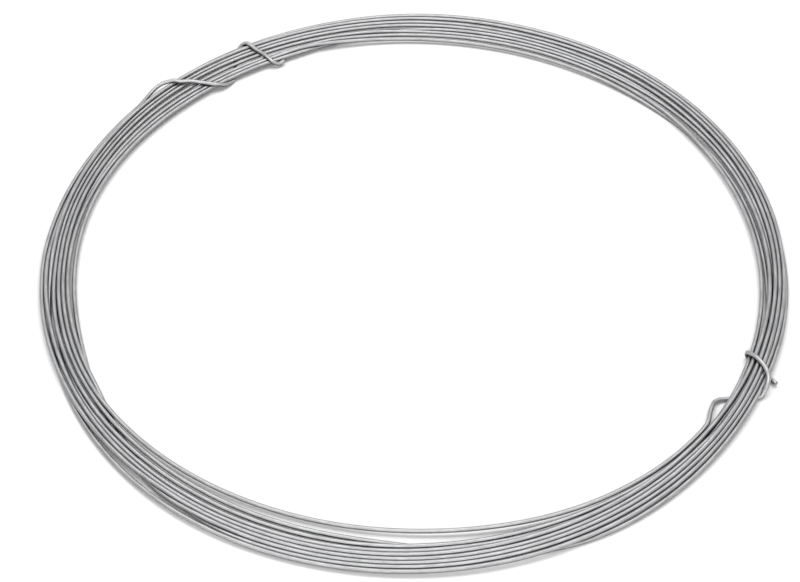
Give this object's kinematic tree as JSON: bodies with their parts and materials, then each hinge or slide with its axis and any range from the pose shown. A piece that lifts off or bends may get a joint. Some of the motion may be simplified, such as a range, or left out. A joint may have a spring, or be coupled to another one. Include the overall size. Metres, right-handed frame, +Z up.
{
  "type": "utility wire coil",
  "caption": "Flat hoop of round galvanised steel wire, wound in a spiral and held together by its own wrapped ends, for fencing, tying and general repairs.",
  "frame": {"origin": "middle of the hoop's outline, at the height of the floor that the hoop lies on", "axes": "+Z up, square to the flat hoop; -Y to the front; +X to the right, where the angles of the wrapped ends count from"},
  "size_m": [0.5918, 0.5899, 0.0106],
  "materials": {
    "wire": "galvanised, satin"
  },
  "bodies": {
    "root": {"wire": "wire"}
  },
  "joints": []
}
